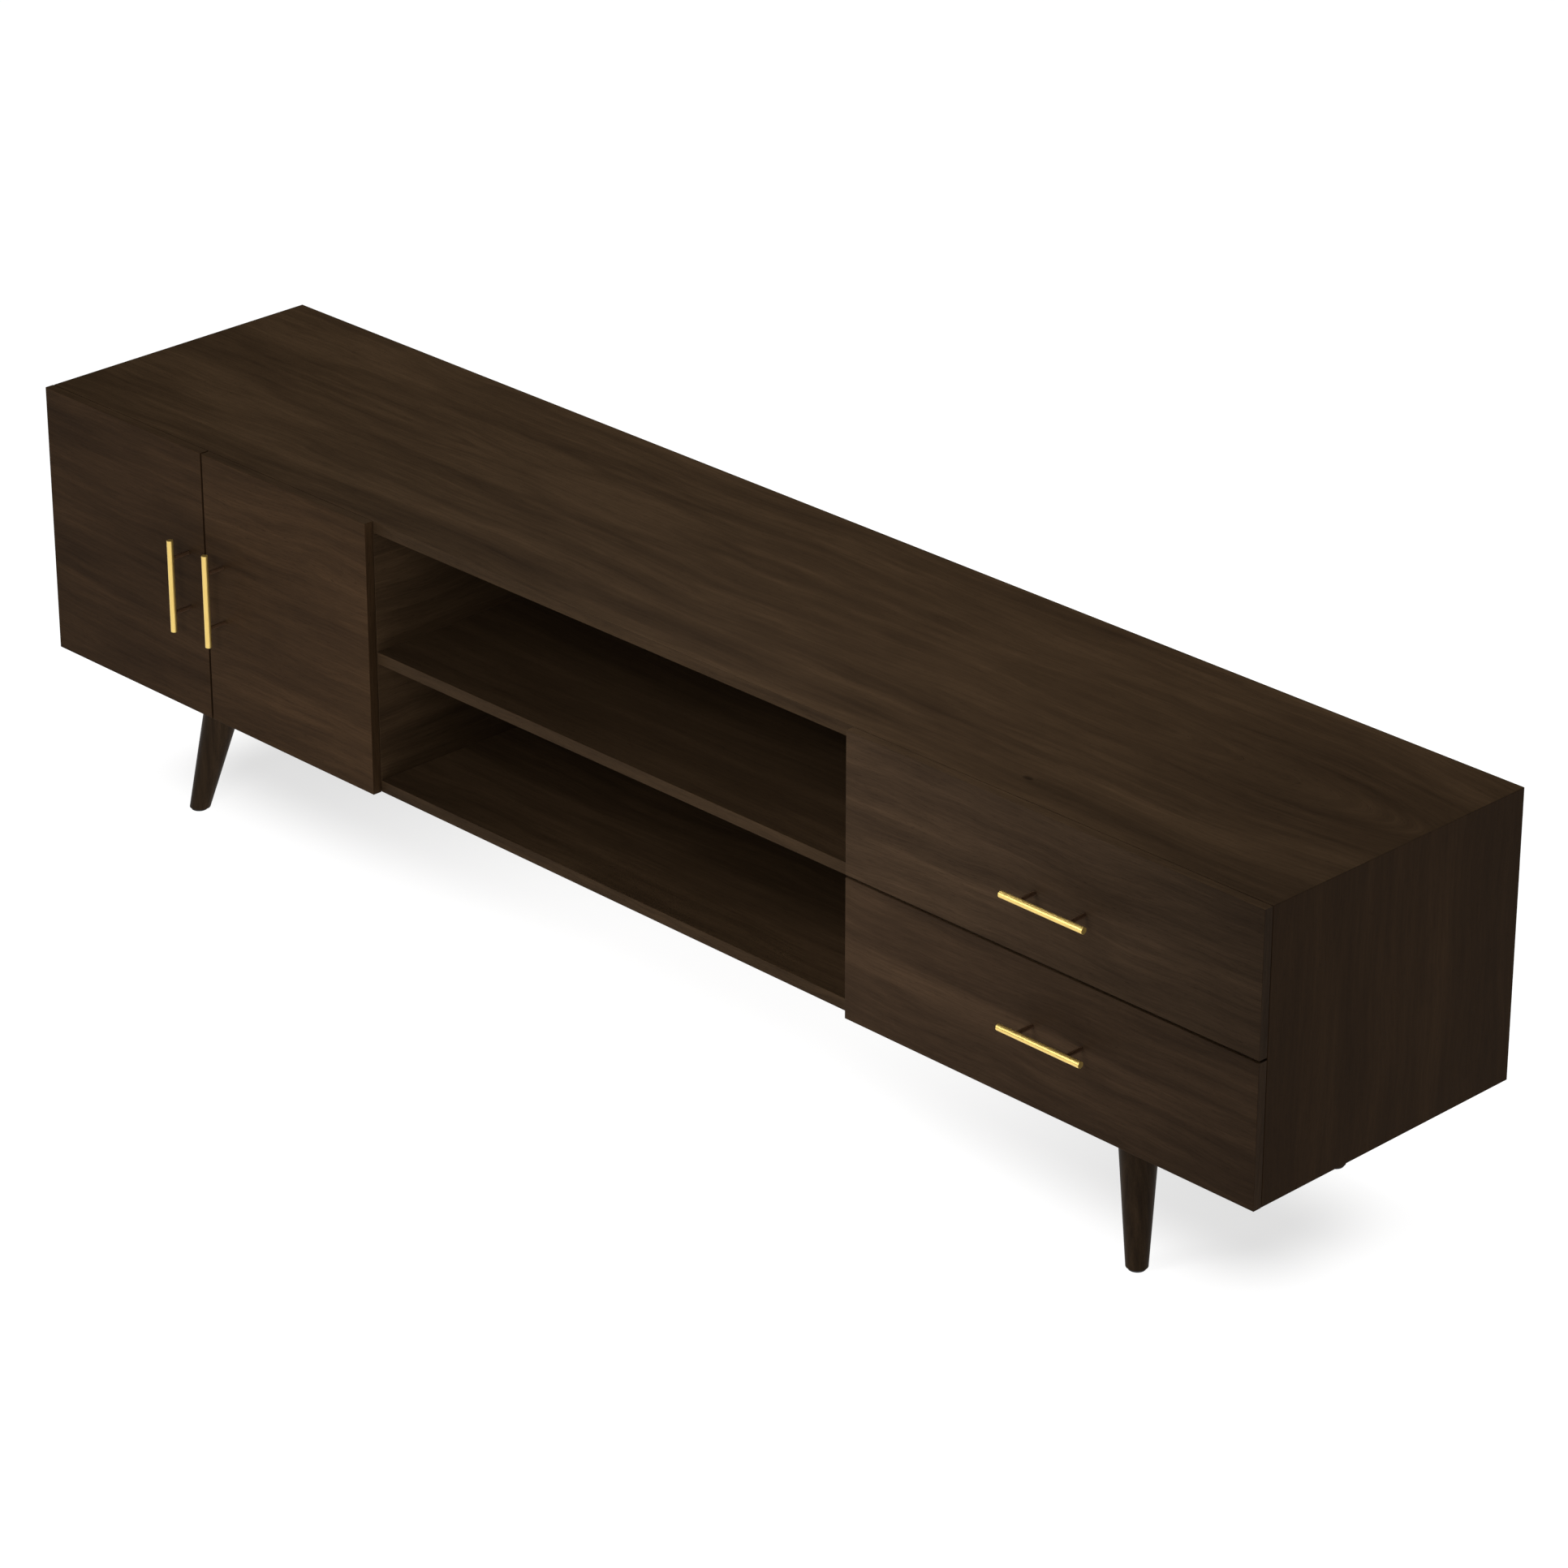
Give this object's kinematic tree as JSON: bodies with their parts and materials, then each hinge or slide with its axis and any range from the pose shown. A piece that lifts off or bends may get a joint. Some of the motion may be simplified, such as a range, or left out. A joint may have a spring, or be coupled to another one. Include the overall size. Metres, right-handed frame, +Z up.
{
  "type": "television console cabinet",
  "caption": "Long low media console with hinged doors, an open shelved bay, drawers with bar pulls, and splayed tapered legs.",
  "frame": {"origin": "on the floor, under the middle of the whole piece, pulls included", "axes": "+X to the drawers' end, seen from the front the right; +Y to the back, so the doors and drawers face -Y; +Z up"},
  "size_m": [2, 0.443, 0.522],
  "materials": {
    "walnut_veneer": "satin",
    "walnut_front": "satin",
    "leg_wood": "satin",
    "back_board": "matt",
    "birch_ply": "matt",
    "beech": "matt",
    "brass": "brushed",
    "dark_metal": "satin",
    "steel": "brushed",
    "zinc": "matt",
    "black_plastic": "matt"
  },
  "bodies": {
    "case": {"top_panel": "walnut_veneer", "bottom_panel": "walnut_veneer", "left_side_panel": "walnut_veneer", "right_side_panel": "walnut_veneer", "left_divider": "walnut_veneer", "right_divider": "walnut_veneer", "centre_shelf": "walnut_veneer", "cupboard_shelf": "walnut_veneer", "shelf_pins": "steel", "left_back_panel": "back_board", "centre_back_panel": "back_board", "right_back_panel": "back_board", "cable_grommets": "black_plastic", "dowels": "beech", "cam_discs": "zinc", "cam_bolts": "steel", "case_screws": "steel", "front_left_leg": "leg_wood", "front_right_leg": "leg_wood", "rear_left_leg": "leg_wood", "rear_right_leg": "leg_wood", "leg_bolts": "steel", "leg_tee_nuts": "zinc", "foot_glides": "black_plastic", "hinge_plates": "zinc", "hinge_arms": "steel", "slide_outer_rails": "steel"},
    "left_hinge_links": {"left_hinge_links": "steel", "left_hinge_pins": "zinc"},
    "left_door": {"left_door": "walnut_front", "left_door_pull_bar": "brass", "left_door_pull_posts": "dark_metal", "left_hinge_cups": "steel", "left_door_screws": "steel"},
    "right_hinge_links": {"right_hinge_links": "steel", "right_hinge_pins": "zinc"},
    "right_door": {"right_door": "walnut_front", "right_door_pull_bar": "brass", "right_door_pull_posts": "dark_metal", "right_hinge_cups": "steel", "right_door_screws": "steel"},
    "upper_drawer": {"upper_drawer_front": "walnut_front", "upper_drawer_sides": "birch_ply", "upper_drawer_back": "birch_ply", "upper_drawer_bottom": "birch_ply", "upper_drawer_pull_bar": "brass", "upper_drawer_pull_posts": "dark_metal", "upper_drawer_inner_rails": "steel", "upper_drawer_screws": "steel"},
    "upper_middle_rails": {"upper_slide_middle_rails": "zinc"},
    "lower_drawer": {"lower_drawer_front": "walnut_front", "lower_drawer_sides": "birch_ply", "lower_drawer_back": "birch_ply", "lower_drawer_bottom": "birch_ply", "lower_drawer_pull_bar": "brass", "lower_drawer_pull_posts": "dark_metal", "lower_drawer_inner_rails": "steel", "lower_drawer_screws": "steel"},
    "lower_middle_rails": {"lower_slide_middle_rails": "zinc"}
  },
  "joints": [
    {"name": "left_hinge_link_pivot", "type": "hinge", "parent": "case", "child": "left_hinge_links", "pos_m": [-0.978, -0.1755, 0.347], "axis": [0, 0, 1], "range_deg": [0, 49.4]},
    {"name": "left_door_swing", "type": "hinge", "parent": "left_hinge_links", "child": "left_door", "pos_m": [-0.992, -0.1815, 0.347], "axis": [0, 0, -1], "range_deg": [0, 144.4]},
    {"name": "right_hinge_link_pivot", "type": "hinge", "parent": "case", "child": "right_hinge_links", "pos_m": [-0.418, -0.1755, 0.347], "axis": [0, 0, -1], "range_deg": [0, 49.4]},
    {"name": "right_door_swing", "type": "hinge", "parent": "right_hinge_links", "child": "right_door", "pos_m": [-0.404, -0.1815, 0.347], "axis": [0, 0, 1], "range_deg": [0, 144.4]},
    {"name": "upper_drawer_slide", "type": "slide", "parent": "case", "child": "upper_drawer", "axis": [0, -1, 0], "range_m": [0, 0.35]},
    {"name": "upper_middle_rails_slide", "type": "slide", "parent": "case", "child": "upper_middle_rails", "axis": [0, -1, 0], "range_m": [0, 0.175]},
    {"name": "lower_drawer_slide", "type": "slide", "parent": "case", "child": "lower_drawer", "axis": [0, -1, 0], "range_m": [0, 0.35]},
    {"name": "lower_middle_rails_slide", "type": "slide", "parent": "case", "child": "lower_middle_rails", "axis": [0, -1, 0], "range_m": [0, 0.175]}
  ],
  "couplings": [
    {"joint": "left_hinge_link_pivot", "follows": "left_door_swing", "ratio": 0.3421},
    {"joint": "right_hinge_link_pivot", "follows": "right_door_swing", "ratio": 0.3421},
    {"joint": "upper_middle_rails_slide", "follows": "upper_drawer_slide", "ratio": 0.5},
    {"joint": "lower_middle_rails_slide", "follows": "lower_drawer_slide", "ratio": 0.5}
  ]
}
